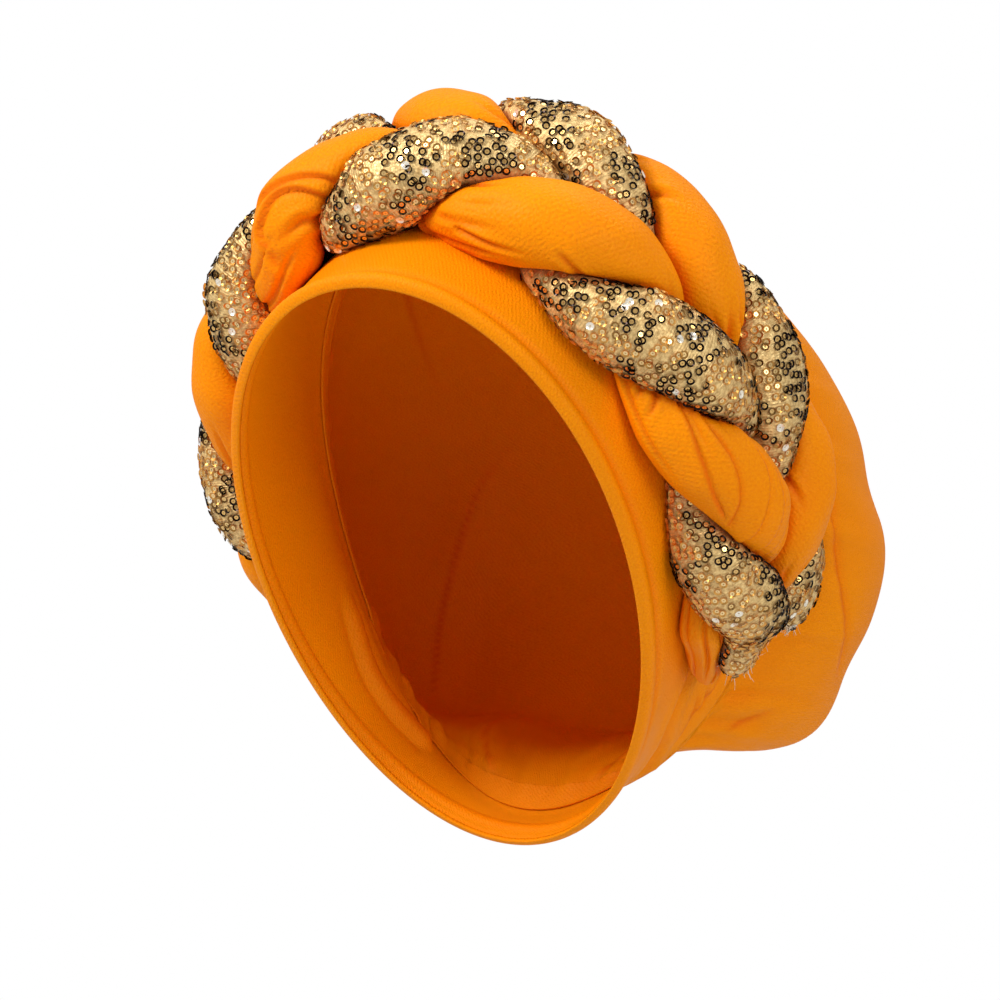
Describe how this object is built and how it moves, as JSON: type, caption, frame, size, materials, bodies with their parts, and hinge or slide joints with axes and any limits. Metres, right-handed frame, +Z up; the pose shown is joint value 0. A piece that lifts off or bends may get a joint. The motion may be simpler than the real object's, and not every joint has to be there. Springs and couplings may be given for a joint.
{
  "type": "twisted turban hat",
  "caption": "Soft turban hat with a fitted cloth band, a thick braid of stuffed satin and sequin strands across the crown, and a baggy crown behind.",
  "frame": {"origin": "where the top of the head meets the inside of the cap", "axes": "+Z up as worn, -Y the way the wearer faces, +X towards the wearer's left"},
  "size_m": [0.2627, 0.2642, 0.3086],
  "materials": {
    "orange_satin": "soft satin cloth with a fine twill and a soft sheen",
    "gold_sequin_cloth": "pale gold cloth covered with small round gold sequins"
  },
  "bodies": {
    "root": {"front_band": "orange_satin", "crown_pouch": "orange_satin", "orange_strand_front": "orange_satin", "orange_strand_rear": "orange_satin", "gold_strand_front": "gold_sequin_cloth", "gold_strand_rear": "gold_sequin_cloth"}
  },
  "joints": []
}
